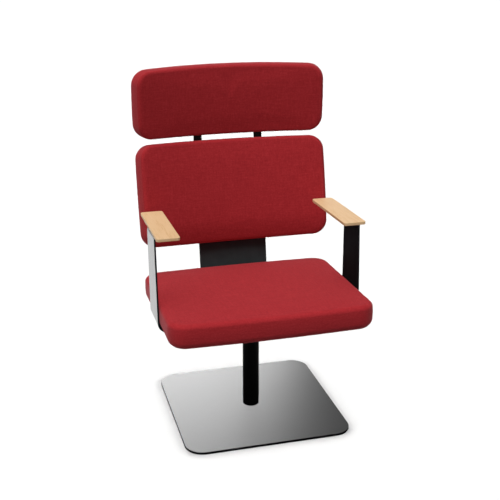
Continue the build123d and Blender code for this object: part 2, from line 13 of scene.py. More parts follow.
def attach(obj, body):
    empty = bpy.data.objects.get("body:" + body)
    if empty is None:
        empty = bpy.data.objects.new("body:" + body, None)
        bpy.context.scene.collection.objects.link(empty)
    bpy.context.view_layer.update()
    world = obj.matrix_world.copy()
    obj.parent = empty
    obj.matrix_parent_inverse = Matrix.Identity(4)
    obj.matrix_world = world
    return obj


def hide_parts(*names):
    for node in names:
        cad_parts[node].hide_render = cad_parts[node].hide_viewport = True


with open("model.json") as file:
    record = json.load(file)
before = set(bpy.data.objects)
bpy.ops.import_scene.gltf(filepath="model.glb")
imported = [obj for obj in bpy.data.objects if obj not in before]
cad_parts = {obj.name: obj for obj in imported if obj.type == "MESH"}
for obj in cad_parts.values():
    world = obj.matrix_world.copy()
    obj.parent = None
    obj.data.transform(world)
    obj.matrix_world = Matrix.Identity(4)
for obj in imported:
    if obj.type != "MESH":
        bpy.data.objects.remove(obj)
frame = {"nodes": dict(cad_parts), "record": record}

LOG = logging.getLogger("lounge_chair")
MM = 0.001
WAVE_LENGTH = math.pi / 10.0  # one wave of Blender's wave texture, at a scale of one
WEAVE = "weave"  # the attribute that holds where each point lies on the cloth
Colour = Tuple[float, float, float, float]


class Body(Enum):
    """The two rigid bodies of the chair."""

    BASE = "base"
    SEAT_UNIT = "seat_unit"


class Slot(Enum):
    """Material slots of the record."""

    UPHOLSTERY = "upholstery"
    LACQUER = "lacquer"
    BEECH = "beech"
    PLYWOOD = "plywood"
    ZINC = "zinc"
    PLASTIC = "plastic"


class Side(Enum):
    """Directions that a polished face may look in, by the number of their axis."""

    SIDEWAYS = 0
    UPWARDS = 2


class Lamp(Enum):
    """Kinds of lamp in the studio, by Blender's names."""

    SUN = "SUN"
    PANEL = "AREA"


class Reach(Enum):
    """What a lamp's list of pieces stands for, by Blender's names."""

    ONLY_THESE = "INCLUDE"
    ALL_BUT_THESE = "EXCLUDE"


def linear(code: str) -> Colour:
    """Turn an sRGB hex value into linear light.

    Args:
        code: six hex digits.

    Returns:
        Linear red, green, blue and an alpha of one.
    """
    srgb = np.array([int(code[i:i + 2], 16) for i in (0, 2, 4)]) / 255.0
    light = np.where(srgb <= 0.04045, srgb / 12.92, ((srgb + 0.055) / 1.055) ** 2.4)
    return (float(light[0]), float(light[1]), float(light[2]), 1.0)


def add(
        tree: bpy.types.NodeTree, kind: str, sockets: Optional[dict] = None,
        **settings) -> bpy.types.Node:
    """Add a node with its settings, and set or link its sockets.

    Args:
        tree: the node tree that gets the node.
        kind: the node's Blender type.
        sockets: input name or number to a value, or to an output socket to link from.
        settings: the node's own properties.

    Returns:
        The new node.
    """
    node = tree.nodes.new(kind)
    for name, value in settings.items():
        setattr(node, name, value)
    for key, value in (sockets or {}).items():
        if isinstance(value, bpy.types.NodeSocket):
            tree.links.new(value, node.inputs[key])
        else:
            node.inputs[key].default_value = value
    return node


def ramp(
        tree: bpy.types.NodeTree, factor: bpy.types.NodeSocket,
        stops: List[Tuple[float, Colour]]) -> bpy.types.NodeSocket:
    """Map a factor to colours.

    Args:
        tree: the node tree.
        factor: the socket that drives the ramp.
        stops: places from 0 to 1 with their colours, at least two.

    Returns:
        The ramp's colour socket.
    """
    node = add(tree, "ShaderNodeValToRGB", {0: factor})
    line = node.color_ramp.elements
    while len(line) < len(stops):
        line.new(0.5)
    for stop, (place, colour) in zip(line, stops):
        stop.position = place
        stop.color = colour
    return node.outputs[0]


@dataclass(frozen=True)
class Finish:
    """A surface finish: named for what it is, built once as a node material."""

    name: str

    def shade(self, tree: bpy.types.NodeTree, skin: bpy.types.Node) -> None:
        """Wire the finish into a Principled shader.

        Args:
            tree: the material's node tree.
            skin: its Principled shader.
        """
        raise NotImplementedError

    def material(self) -> bpy.types.Material:
        """Give the material, made on first use.

        Returns:
            The node material that bears the finish's name.
        """
        made = bpy.data.materials.get(self.name)
        if made:
            return made
        made = bpy.data.materials.new(self.name)
        made.use_nodes = True
        made.node_tree.nodes.clear()
        skin = add(made.node_tree, "ShaderNodeBsdfPrincipled")
        add(made.node_tree, "ShaderNodeOutputMaterial", {"Surface": skin.outputs[0]})
        self.shade(made.node_tree, skin)
        return made


@dataclass(frozen=True)
class WovenWool(Finish):
    """Wool upholstery cloth in a plain weave of mottled yarn: matt, with a soft sheen at grazing angles."""

    shade_hex: str = "931A22"
    body_hex: str = "A32228"
    light_hex: str = "B32D33"
    sheen_hex: str = "F3B4BA"
    sheen: float = 0.2
    sheen_roughness: float = 0.45
    roughness: float = 0.88
    specular: float = 0.2
    thread_mm: float = 1.9  # real threads are near 1 mm; drawn coarser so that they show
    slub_mm: Tuple[float, float] = (3.04, 34.0)  # across and along its thread
    mottle_mm: float = 5.0
    slub_share: float = 0.6
    weave_share: float = 0.3
    tones: Tuple[float, float] = (0.85, 1.65)
    nap_strength: float = 0.35
    nap_depth_mm: float = 0.25

    def shade(self, tree: bpy.types.NodeTree, skin: bpy.types.Node) -> None:
        """Cross two thread waves, streak them with slubs along both threads, and mottle the yarn.

        Args:
            tree: the material's node tree.
            skin: its Principled shader.
        """
        cloth = add(tree, "ShaderNodeAttribute", attribute_name=WEAVE).outputs["Vector"]
        threads = {"Vector": cloth, "Scale": WAVE_LENGTH / (self.thread_mm * MM)}
        warp = add(tree, "ShaderNodeTexWave", threads, bands_direction="X").outputs[1]
        weft = add(tree, "ShaderNodeTexWave", threads, bands_direction="Y").outputs[1]
        both = add(tree, "ShaderNodeMath", {0: warp, 1: weft}, operation="MULTIPLY").outputs[0]
        either = add(tree, "ShaderNodeMath", {0: warp, 1: weft}, operation="ADD").outputs[0]
        only_one = {0: both, 1: -2.0, 2: either}
        cross = add(tree, "ShaderNodeMath", only_one, operation="MULTIPLY_ADD").outputs[0]
        fine, long = (1.0 / (size * MM) for size in self.slub_mm)
        streaks = []
        for stretch in ((long, fine, fine), (fine, long, fine)):
            lie = add(tree, "ShaderNodeMapping", {"Vector": cloth, "Scale": stretch}).outputs[0]
            streak = add(tree, "ShaderNodeTexNoise", {"Vector": lie, "Scale": 1.0, "Detail": 2.0})
            streaks.append(streak.outputs[0])
        slub = add(tree, "ShaderNodeMath", {0: streaks[0], 1: streaks[1]}, operation="ADD").outputs[0]
        spots = {"Vector": cloth, "Scale": 1.0 / (self.mottle_mm * MM), "Detail": 3.0, "Roughness": 0.6}
        mottle = add(tree, "ShaderNodeTexNoise", spots).outputs[0]
        streaky = {0: slub, 1: self.slub_share, 2: mottle}
        yarn = add(tree, "ShaderNodeMath", streaky, operation="MULTIPLY_ADD").outputs[0]
        woven = {0: cross, 1: self.weave_share, 2: yarn}
        lift = add(tree, "ShaderNodeMath", woven, operation="MULTIPLY_ADD").outputs[0]
        span = {"Value": lift, "From Min": self.tones[0], "From Max": self.tones[1]}
        tone = add(tree, "ShaderNodeMapRange", span).outputs[0]
        stops = [(0.0, linear(self.shade_hex)), (0.5, linear(self.body_hex)), (1.0, linear(self.light_hex))]
        tree.links.new(ramp(tree, tone, stops), skin.inputs["Base Color"])
        skin.inputs["Roughness"].default_value = self.roughness
        skin.inputs["Specular IOR Level"].default_value = self.specular
        skin.inputs["Sheen Weight"].default_value = self.sheen
        skin.inputs["Sheen Roughness"].default_value = self.sheen_roughness
        skin.inputs["Sheen Tint"].default_value = linear(self.sheen_hex)
        pile = add(tree, "ShaderNodeMath", {0: cross, 1: slub}, operation="ADD").outputs[0]
        nap = {"Height": pile, "Strength": self.nap_strength, "Distance": self.nap_depth_mm * MM}
        tree.links.new(add(tree, "ShaderNodeBump", nap).outputs[0], skin.inputs["Normal"])


@dataclass(frozen=True)
class BlackLacquer(Finish):
    """Black lacquer sprayed on sheet steel: smooth, with a faint orange peel that breaks up its gloss.

    Where it is polished, the faces that look outwards along one axis wear a clear coat over a duller ground.
    """

    body_hex: str = "111112"
    roughness: float = 0.5
    ior: float = 1.03
    polished: Optional[Side] = None
    coat_roughness: float = 0.06
    coat_ior: float = 1.75
    coat_from: float = 0.97
    coat_full: float = 0.99
    peel_mm: float = 1.6
    peel_strength: float = 0.08
    peel_depth_mm: float = 0.05
    cloud_mm: float = 45.0
    cloud_gloss: float = 0.03
    cloud_lift: float = 1.25

    def shade(self, tree: bpy.types.NodeTree, skin: bpy.types.Node) -> None:
        """Let fine noise vary the gloss and dimple the coat.

        Args:
            tree: the material's node tree.
            skin: its Principled shader.
        """
        place = add(tree, "ShaderNodeTexCoord").outputs["Object"]
        grit = {"Vector": place, "Scale": 1.0 / (self.peel_mm * MM), "Detail": 2.0}
        peel = add(tree, "ShaderNodeTexNoise", grit).outputs[0]
        haze = {"Vector": place, "Scale": 1.0 / (self.cloud_mm * MM), "Detail": 3.0}
        cloud = add(tree, "ShaderNodeTexNoise", haze).outputs[0]
        low, high = self.roughness - self.cloud_gloss, self.roughness + self.cloud_gloss
        gloss = add(tree, "ShaderNodeMapRange", {"Value": cloud, "To Min": low, "To Max": high}).outputs[0]
        tree.links.new(gloss, skin.inputs["Roughness"])
        black = linear(self.body_hex)
        lifted = tuple(part * self.cloud_lift for part in black[:3]) + (1.0,)
        tree.links.new(ramp(tree, cloud, [(0.3, black), (0.7, lifted)]), skin.inputs["Base Color"])
        skin.inputs["IOR"].default_value = self.ior
        dents = {"Height": peel, "Strength": self.peel_strength, "Distance": self.peel_depth_mm * MM}
        bump = add(tree, "ShaderNodeBump", dents).outputs[0]
        tree.links.new(bump, skin.inputs["Normal"])
        if self.polished:
            self.polish(tree, skin, bump)

    def polish(self, tree: bpy.types.NodeTree, skin: bpy.types.Node, dimples: bpy.types.NodeSocket) -> None:
        """Coat the faces whose normal points the same way along the axis as the place they are at.

        Args:
            tree: the material's node tree.
            skin: its Principled shader.
            dimples: the normal that the coat shares with the ground.
        """
        where = add(tree, "ShaderNodeTexCoord")
        axis = self.polished.value
        place, facing = (
            add(tree, "ShaderNodeSeparateXYZ", {0: where.outputs[name]}).outputs[axis]
            for name in ("Object", "Normal"))
        side = add(tree, "ShaderNodeMath", {0: place}, operation="SIGN").outputs[0]
        away = add(tree, "ShaderNodeMath", {0: side, 1: facing}, operation="MULTIPLY").outputs[0]
        reach = {"Value": away, "From Min": self.coat_from, "From Max": self.coat_full}
        coat = add(tree, "ShaderNodeMapRange", reach).outputs[0]
        tree.links.new(coat, skin.inputs["Coat Weight"])
        tree.links.new(dimples, skin.inputs["Coat Normal"])
        skin.inputs["Coat Roughness"].default_value = self.coat_roughness
        skin.inputs["Coat IOR"].default_value = self.coat_ior


@dataclass(frozen=True)
class VarnishedBeech(Finish):
    """Solid beech, planed and varnished: pale tan with straight fine grain and short darker ray flecks."""

    pale_hex: str = "E8C59A"
    body_hex: str = "E3BE91"
    grain_hex: str = "D3A977"
    fleck_hex: str = "BF9060"
    grain_mm: Tuple[float, float] = (2.2, 90.0)  # across and along the board, as the next two are
    band_mm: Tuple[float, float] = (19.8, 180.0)
    fleck_mm: Tuple[float, float] = (2.2, 10.0)  # real flecks are 1 to 3 mm long; drawn larger to show
    fleck_edge: Tuple[float, float] = (0.06, 0.2)
    fleck_share: float = 0.35
    tones: Tuple[float, float] = (0.62, 1.38)
    roughness: float = 0.5
    ior: float = 1.3
    pore_strength: float = 0.06
    pore_depth_mm: float = 0.1

    def shade(self, tree: bpy.types.NodeTree, skin: bpy.types.Node) -> None:
        """Stretch noise along the board for the grain, and lay short flecks over it.

        Args:
            tree: the material's node tree.
            skin: its Principled shader.
        """
        place = add(tree, "ShaderNodeTexCoord").outputs["Object"]
        lies = []
        for across, along in (self.grain_mm, self.band_mm, self.fleck_mm):
            stretch = (1.0 / (across * MM), 1.0 / (along * MM), 1.0 / (across * MM))
            lies.append(add(tree, "ShaderNodeMapping", {"Vector": place, "Scale": stretch}).outputs[0])
        fibres = {"Vector": lies[0], "Scale": 1.0, "Detail": 4.0, "Distortion": 0.4}
        grain = add(tree, "ShaderNodeTexNoise", fibres).outputs[0]
        bands = add(tree, "ShaderNodeTexNoise", {"Vector": lies[1], "Scale": 1.0, "Detail": 2.0}).outputs[0]
        rays = add(tree, "ShaderNodeTexVoronoi", {"Vector": lies[2], "Scale": 1.0}).outputs[0]
        mixed = add(tree, "ShaderNodeMath", {0: grain, 1: bands}, operation="ADD").outputs[0]
        span = {"Value": mixed, "From Min": self.tones[0], "From Max": self.tones[1]}
        tone = add(tree, "ShaderNodeMapRange", span).outputs[0]
        stops = [(0.0, linear(self.grain_hex)), (0.45, linear(self.body_hex)), (1.0, linear(self.pale_hex))]
        inner, outer = self.fleck_edge
        near = {"Value": rays, "From Min": inner, "From Max": outer, "To Min": self.fleck_share, "To Max": 0}
        fleck = add(tree, "ShaderNodeMapRange", near).outputs[0]
        blend = {0: fleck, 6: ramp(tree, tone, stops), 7: linear(self.fleck_hex)}
        colour = add(tree, "ShaderNodeMix", blend, data_type="RGBA").outputs[2]
        tree.links.new(colour, skin.inputs["Base Color"])
        skin.inputs["Roughness"].default_value = self.roughness
        skin.inputs["IOR"].default_value = self.ior
        pores = {"Height": grain, "Strength": self.pore_strength, "Distance": self.pore_depth_mm * MM}
        tree.links.new(add(tree, "ShaderNodeBump", pores).outputs[0], skin.inputs["Normal"])


@dataclass(frozen=True)
class BirchPlywood(Finish):
    """Raw birch plywood: pale rotary-cut face with wide soft figure and darker glue lines on its edge."""

    pale_hex: str = "D9BE95"
    body_hex: str = "C9A878"
    figure_mm: Tuple[float, float] = (14.3, 111.0)  # across and along the sheet
    ply_mm: float = 1.5
    ply_share: float = 0.15
    roughness: float = 0.7

    def shade(self, tree: bpy.types.NodeTree, skin: bpy.types.Node) -> None:
        """Lay broad noise for the figure and thin waves for the plies.

        Args:
            tree: the material's node tree.
            skin: its Principled shader.
        """
        place = add(tree, "ShaderNodeTexCoord").outputs["Object"]
        wide, run = (1.0 / (size * MM) for size in self.figure_mm)
        lie = add(tree, "ShaderNodeMapping", {"Vector": place, "Scale": (wide, run, wide)}).outputs[0]
        figure = add(tree, "ShaderNodeTexNoise", {"Vector": lie, "Scale": 1.0, "Detail": 4.0}).outputs[0]
        layers = {"Vector": place, "Scale": WAVE_LENGTH / (self.ply_mm * MM)}
        plies = add(tree, "ShaderNodeTexWave", layers, bands_direction="Z").outputs[1]
        glued = {0: plies, 1: self.ply_share, 2: figure}
        tone = add(tree, "ShaderNodeMath", glued, operation="MULTIPLY_ADD").outputs[0]
        tint = ramp(tree, tone, [(0.3, linear(self.body_hex)), (0.75, linear(self.pale_hex))])
        tree.links.new(tint, skin.inputs["Base Color"])
        skin.inputs["Roughness"].default_value = self.roughness


@dataclass(frozen=True)
class ZincPlate(Finish):
    """Bright zinc plating on small steel parts: metal, slightly clouded."""

    body_hex: str = "B9BCC0"
    cloud_mm: float = 3.0
    gloss: Tuple[float, float] = (0.28, 0.45)

    def shade(self, tree: bpy.types.NodeTree, skin: bpy.types.Node) -> None:
        """Cloud the metal's gloss.

        Args:
            tree: the material's node tree.
            skin: its Principled shader.
        """
        place = add(tree, "ShaderNodeTexCoord").outputs["Object"]
        haze = {"Vector": place, "Scale": 1.0 / (self.cloud_mm * MM), "Detail": 3.0}
        cloud = add(tree, "ShaderNodeTexNoise", haze).outputs[0]
        span = {"Value": cloud, "To Min": self.gloss[0], "To Max": self.gloss[1]}
        tree.links.new(add(tree, "ShaderNodeMapRange", span).outputs[0], skin.inputs["Roughness"])
        skin.inputs["Base Color"].default_value = linear(self.body_hex)
        skin.inputs["Metallic"].default_value = 1.0


@dataclass(frozen=True)
class MouldedNylon(Finish):
    """Black moulded nylon: matt with a fine spark-eroded grain."""

    body_hex: str = "131314"
    grain_mm: float = 0.8  # real grain is near 0.1 mm; drawn coarser so that it shows
    gloss: Tuple[float, float] = (0.5, 0.7)
    grain_strength: float = 0.15
    grain_depth_mm: float = 0.05

    def shade(self, tree: bpy.types.NodeTree, skin: bpy.types.Node) -> None:
        """Grain the surface with fine noise.

        Args:
            tree: the material's node tree.
            skin: its Principled shader.
        """
        place = add(tree, "ShaderNodeTexCoord").outputs["Object"]
        specks = {"Vector": place, "Scale": 1.0 / (self.grain_mm * MM), "Detail": 2.0}
        grain = add(tree, "ShaderNodeTexNoise", specks).outputs[0]
        span = {"Value": grain, "To Min": self.gloss[0], "To Max": self.gloss[1]}
        tree.links.new(add(tree, "ShaderNodeMapRange", span).outputs[0], skin.inputs["Roughness"])
        skin.inputs["Base Color"].default_value = linear(self.body_hex)
        pits = {"Height": grain, "Strength": self.grain_strength, "Distance": self.grain_depth_mm * MM}
        tree.links.new(add(tree, "ShaderNodeBump", pits).outputs[0], skin.inputs["Normal"])


@dataclass(frozen=True)
class Frame:
    """A frame leaning back about X: its own Y runs rearwards and its Z upwards.

    Its place is in metres and its lean in degrees.
    """

    y: float
    z: float
    lean: float

    def out(self, points: np.ndarray) -> np.ndarray:
        """Carry points from this frame to its parent.

        Turning by the lean about X takes (y, z) to (y cos + z sin, z cos - y sin).

        Args:
            points: rows of x, y, z.

        Returns:
            The points in the parent frame.
        """
        c, s = math.cos(math.radians(self.lean)), math.sin(math.radians(self.lean))
        x, y, z = points.T
        return np.stack([x, self.y + y * c + z * s, self.z - y * s + z * c], axis=1)

    def into(self, points: np.ndarray) -> np.ndarray:
        """Carry points from the parent into this frame, the inverse of out.

        Args:
            points: rows of x, y, z in the parent frame.

        Returns:
            The points in this frame.
        """
        c, s = math.cos(math.radians(self.lean)), math.sin(math.radians(self.lean))
        x, y, z = points[:, 0], points[:, 1] - self.y, points[:, 2] - self.z
        return np.stack([x, y * c - z * s, y * s + z * c], axis=1)


SEAT_FRAME = Frame(y=0.0, z=0.3323, lean=2.25)


@dataclass(kw_only=True)
class Pad:
    """A foam pad in a tight cloth cover, on a frame in the seat's frame.

    The pad has across, along and depth coordinates: across and along in the plane of its face, and depth
    inwards from it. Sizes are in metres.
    """

    name: str
    node: str
    place: Frame
    width: float
    height: float
    thick: float
    corner: float
    face_round: float
    back_round: float
    bulge_across: float
    bulge_along: float
    crown: float
    voxel: float = 0.006
    swell: float = 0.004
    belly: float = 0.0008
    fill: float = 0.85
    pressure: float = 4.0
    tension: float = 30.0
    bending: float = 2.0
    frames: int = 20
    around: int = 320
    corner_points: int = 40
    face_rows: int = 24
    round_rows: int = 14
    side_rows: int = 12
    even_rounds: int = 60
    lap_power: int = 9

    def outline(self) -> Tuple[np.ndarray, np.ndarray]:
        """Trace the pad's face.

        A rectangle with round corners is walked at even steps. Each edge then swells outwards by a parabola
        that is highest in its middle. The normal is the walk's direction turned by a quarter.

        Returns:
            Points across and along, and their outward normals.
        """
        half = np.array([self.width / 2 - self.swell, self.height / 2 - self.swell])
        turn = np.linspace(0.0, math.pi / 2, self.corner_points)
        quarter = np.stack([np.cos(turn), np.sin(turn)], axis=1) * self.corner
        walk = []
        for step, sides in enumerate(((1, 1), (-1, 1), (-1, -1), (1, -1))):
            c, s = math.cos(step * math.pi / 2), math.sin(step * math.pi / 2)
            walk.append(quarter @ np.array([[c, s], [-s, c]]) + (half - self.corner) * sides)
        loop = np.concatenate(walk + [walk[0][:1]])
        length = np.concatenate([[0.0], np.cumsum(np.linalg.norm(np.diff(loop, axis=0), axis=1))])
        even = np.linspace(0.0, length[-1], self.around, endpoint=False)
        across, along = (np.interp(even, length, loop[:, k]) for k in (0, 1))
        out_across = self.bulge_across * (1 - (along / half[1]) ** 2) * across / half[0]
        out_along = self.bulge_along * (1 - (across / half[0]) ** 2) * along / half[1]
        points = np.stack([across + out_across, along + out_along], axis=1)
        ahead = np.roll(points, -1, axis=0) - np.roll(points, 1, axis=0)
        normal = np.stack([ahead[:, 1], -ahead[:, 0]], axis=1)
        return points, normal / np.linalg.norm(normal, axis=1, keepdims=True)

    def section(self) -> Tuple[np.ndarray, np.ndarray, np.ndarray]:
        """Walk from the middle of the face, round the edge, to the middle of the back.

        Discs scale the outline, quarter circles round the two edges, and half a sine wave swells the side.

        Returns:
            Scale of the outline, inset from it and depth, one value per row.
        """
        deep = self.thick - 2 * self.swell
        disc = np.linspace(0.0, 1.0, self.face_rows + 2)[1:-1]
        arc = np.linspace(0.0, math.pi / 2, self.round_rows)
        side = np.linspace(0.0, 1.0, self.side_rows + 2)[1:-1]
        face, back = self.face_round, self.back_round
        scale = np.concatenate([disc, np.ones(2 * len(arc) + len(side)), disc[::-1]])
        inset = np.concatenate([
            np.full(len(disc), face), face * (1 - np.sin(arc)), -self.belly * np.sin(side * math.pi),
            back * (1 - np.cos(arc)), np.full(len(disc), back)])
        depth = np.concatenate([
            np.zeros(len(disc)), face * (1 - np.cos(arc)), face + side * (deep - face - back),
            deep - back + back * np.sin(arc), np.full(len(disc), deep)])
        return scale, inset, depth + self.swell

    def lay(self, across: np.ndarray, along: np.ndarray, depth: np.ndarray) -> np.ndarray:
        """Place pad coordinates in the pad's frame; each kind of pad has its own way."""
        raise NotImplementedError

    def unlay(self, points: np.ndarray) -> Tuple[np.ndarray, np.ndarray, np.ndarray]:
        """Find the pad coordinates of points in the pad's frame, the inverse of lay."""
        raise NotImplementedError

    def crest(self, across: np.ndarray, along: np.ndarray) -> np.ndarray:
        """Height of the crowned face: a dome of two parabolas that falls to nothing at the edges.

        Args:
            across: places across the face.
            along: places along it.

        Returns:
            How far the face stands out at each place.
        """
        x = np.clip(across / (self.width / 2), -1, 1)
        y = np.clip(along / (self.height / 2), -1, 1)
        return self.crown * (1 - x ** 2) * (1 - y ** 2)

    def form(self) -> bpy.types.Mesh:
        """Build the pad before it is filled.

        The section is carried round the outline, and two middle points close it.

        Returns:
            The closed mesh in the chair's frame.
        """
        outline, normal = self.outline()
        scale, inset, depth = self.section()
        ring = outline[None] - inset[:, None, None] * normal[None]
        ring = ring * scale[:, None, None]
        across, along = ring[..., 0].ravel(), ring[..., 1].ravel()
        deep = np.repeat(depth, self.around)
        across, along = np.append(across, [0.0, 0.0]), np.append(along, [0.0, 0.0])
        deep = np.append(deep, [depth[0], depth[-1]])
        fade = 1 - (deep - depth[0]) / (depth[-1] - depth[0])
        points = self.lay(across, along, deep - fade * self.crest(across, along))
        here = np.arange(len(depth) * self.around).reshape(-1, self.around)
        beside = np.roll(here, -1, axis=1)
        quads = np.stack([here[:-1], here[1:], beside[1:], beside[:-1]], axis=-1).reshape(-1, 4)
        top = np.stack([np.full(self.around, here.size), here[0], beside[0]], axis=1)
        end = np.stack([np.full(self.around, here.size + 1), beside[-1], here[-1]], axis=1)
        mesh = bpy.data.meshes.new(self.name + "_form")
        corners = SEAT_FRAME.out(self.place.out(points)).tolist()
        mesh.from_pydata(corners, [], quads.tolist() + top.tolist() + end.tolist())
        mesh.update()
        return mesh

    def fill_out(self, piece: bpy.types.Object) -> None:
        """Swell the form as its cover swells over the foam.

        A remeshed copy is blown up as cloth under pressure. Each point of the form then rises along its
        normal by its distance to that cover, held between nothing and the swell, and the rise is evened out
        over the grid.

        Args:
            piece: the object whose points are moved.
        """
        start = self.points(piece)
        normal = np.empty(start.size)
        piece.data.vertex_normals.foreach_get("vector", normal)
        normal = normal.reshape(-1, 3)
        rise = np.full(len(start), self.swell)
        cover = self.blow_up(piece)
        wrap = piece.modifiers.new("onto_cover", "SHRINKWRAP")
        wrap.target = cover
        self.bake(piece)
        bpy.data.objects.remove(cover)
        reach = ((self.points(piece) - start) * normal).sum(axis=1)
        rise = self.even(np.clip(reach, 0.0, self.swell))
        piece.data.vertices.foreach_set("co", (start + rise[:, None] * normal).ravel())

    def blow_up(self, piece: bpy.types.Object) -> bpy.types.Object:
        """Run the cloth simulation on a remeshed copy.

        Args:
            piece: the pad's form.

        Returns:
            The blown-up cover, with the simulation applied to its mesh.
        """
        scene = bpy.context.scene
        cover = bpy.data.objects.new(self.name + "_cover", piece.data.copy())
        scene.collection.objects.link(cover)
        cover.modifiers.new("even", "REMESH").voxel_size = self.voxel
        self.bake(cover)
        cloth = cover.modifiers.new("filling", "CLOTH")
        cloth.settings.use_pressure = True
        cloth.settings.uniform_pressure_force = self.pressure
        cloth.settings.effector_weights.gravity = 0.0
        cloth.settings.tension_stiffness = self.tension
        cloth.settings.bending_stiffness = self.bending
        cloth.collision_settings.use_collision = False
        for step in range(1, self.frames + 1):
            scene.frame_set(step)
        self.bake(cover)
        scene.frame_set(1)
        return cover

    def even(self, rise: np.ndarray) -> np.ndarray:
        """Average each value, counted twice, with its four neighbours on the form's grid, many times over.

        Args:
            rise: one value per point, the grid row by row and then the two middle points.

        Returns:
            The evened values in the same order.
        """
        grid = rise[:-2].reshape(-1, self.around)
        for _ in range(self.even_rounds):
            upper = np.concatenate([np.full((1, self.around), grid[0].mean()), grid[:-1]])
            lower = np.concatenate([grid[1:], np.full((1, self.around), grid[-1].mean())])
            grid = (2 * grid + np.roll(grid, 1, axis=1) + np.roll(grid, -1, axis=1) + upper + lower) / 6
        return np.concatenate([grid.ravel(), [grid[0].mean(), grid[-1].mean()]])

    @staticmethod
    def points(piece: bpy.types.Object) -> np.ndarray:
        """Read a mesh object's points.

        Args:
            piece: the mesh object.

        Returns:
            Rows of x, y, z.
        """
        flat = np.empty(len(piece.data.vertices) * 3)
        piece.data.vertices.foreach_get("co", flat)
        return flat.reshape(-1, 3)

    @staticmethod
    def bake(piece: bpy.types.Object) -> None:
        """Replace the mesh by what its modifiers make of it, and drop them.

        Args:
            piece: the mesh object.
        """
        graph = bpy.context.evaluated_depsgraph_get()
        mesh = bpy.data.meshes.new_from_object(piece.evaluated_get(graph))
        piece.modifiers.clear()
        piece.data = mesh

    def fit(self, points: np.ndarray) -> np.ndarray:
        """Stretch the filled pad to its cut size.

        Each pad coordinate is scaled until it spans the size: the width and the height with their bulges,
        and the thickness with the crown.

        Args:
            points: rows of x, y, z in the seat's frame.

        Returns:
            The fitted points.
        """
        across, along, depth = self.unlay(self.place.into(points))
        across = across * (self.width / 2 + self.bulge_across) / np.abs(across).max()
        along = along * (self.height / 2 + self.bulge_along) / np.abs(along).max()
        depth = self.thick - (depth.max() - depth) * (self.thick + self.crown) / np.ptp(depth)
        return self.place.out(self.lay(across, along, depth))

    def settle(self, points: np.ndarray) -> np.ndarray:
        """Keep the filled pad off what carries it; plain pads need nothing."""
        return points

    def weave(self, piece: bpy.types.Object) -> None:
        """Store where each point lies on the cloth.

        The cloth runs on over the sides: the depth times the lap is added to across and to along. The lap is
        a high power of the share of the half size, so it is nothing on the face and one at the edge.

        Args:
            piece: the filled pad.
        """
        local = self.place.into(SEAT_FRAME.into(self.points(piece)))
        across, along, depth = self.unlay(local)
        share = np.clip(np.stack([across / (self.width / 2), along / (self.height / 2)]), -1, 1)
        lap = share ** self.lap_power
        cloth = np.stack([across + depth * lap[0], along + depth * lap[1], depth], axis=1)
        spread = piece.data.attributes.new(WEAVE, "FLOAT_VECTOR", "POINT")
        spread.data.foreach_set("vector", cloth.ravel())

    def build(self, finish: Finish) -> bpy.types.Object:
        """Make, fill and dress the pad, and put it in place of its CAD node.

        Args:
            finish: the cover's cloth.

        Returns:
            The finished piece.
        """
        piece = bpy.data.objects.new(self.name, self.form())
        bpy.context.scene.collection.objects.link(piece)
        self.fill_out(piece)
        piece.data.name = self.name
        points = SEAT_FRAME.out(self.settle(self.fit(SEAT_FRAME.into(self.points(piece)))))
        piece.data.vertices.foreach_set("co", points.ravel())
        self.weave(piece)
        piece.data.materials.clear()
        piece.data.materials.append(finish.material())
        piece.data.shade_smooth()
        piece.data.update()
        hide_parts(self.node)
        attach(piece, Body.SEAT_UNIT.value)
        return piece


@dataclass(kw_only=True)
class SeatPad(Pad):
    """The seat: face up, nearly flat, with a large round edge below and a recess for the board under it."""

    width: float = 0.594
    height: float = 0.472
    thick: float = 0.0787
    corner: float = 0.048
    face_round: float = 0.012
    back_round: float = 0.024
    bulge_across: float = 0.0
    bulge_along: float = 0.009
    crown: float = 0.002
    frames: int = 16
    board_width: float = 0.510
    board_depth: float = 0.400
    board_thick: float = 0.012
    lift: float = 0.0005
    ease: float = 0.0006
    room: float = 0.012

    def lay(self, across: np.ndarray, along: np.ndarray, depth: np.ndarray) -> np.ndarray:
        """Lay the pad flat: across is x, along is y, and depth goes down from the top."""
        return np.stack([across, along, -depth], axis=1)

    def unlay(self, points: np.ndarray) -> Tuple[np.ndarray, np.ndarray, np.ndarray]:
        """Read the pad coordinates back from a flat pad."""
        return points[:, 0], points[:, 1], -points[:, 2]

    def settle(self, points: np.ndarray) -> np.ndarray:
        """Press the underside flat and lift it over the board.

        A point in the lowest quarter that lies within the board's outline goes up to the board's top. The
        rest stays just above the plane that the board's underside lies in.

        Args:
            points: rows of x, y, z in the seat's frame.

        Returns:
            The settled points.
        """
        x, y, z = points.T
        inside = (np.abs(x) < self.board_width / 2 + self.room)
        inside &= np.abs(y - self.place.y) < self.board_depth / 2 + self.room
        low = z < self.thick / 4
        floor = np.where(inside & low, self.board_thick + self.ease, self.lift)
        return np.stack([x, y, np.maximum(z, floor)], axis=1)


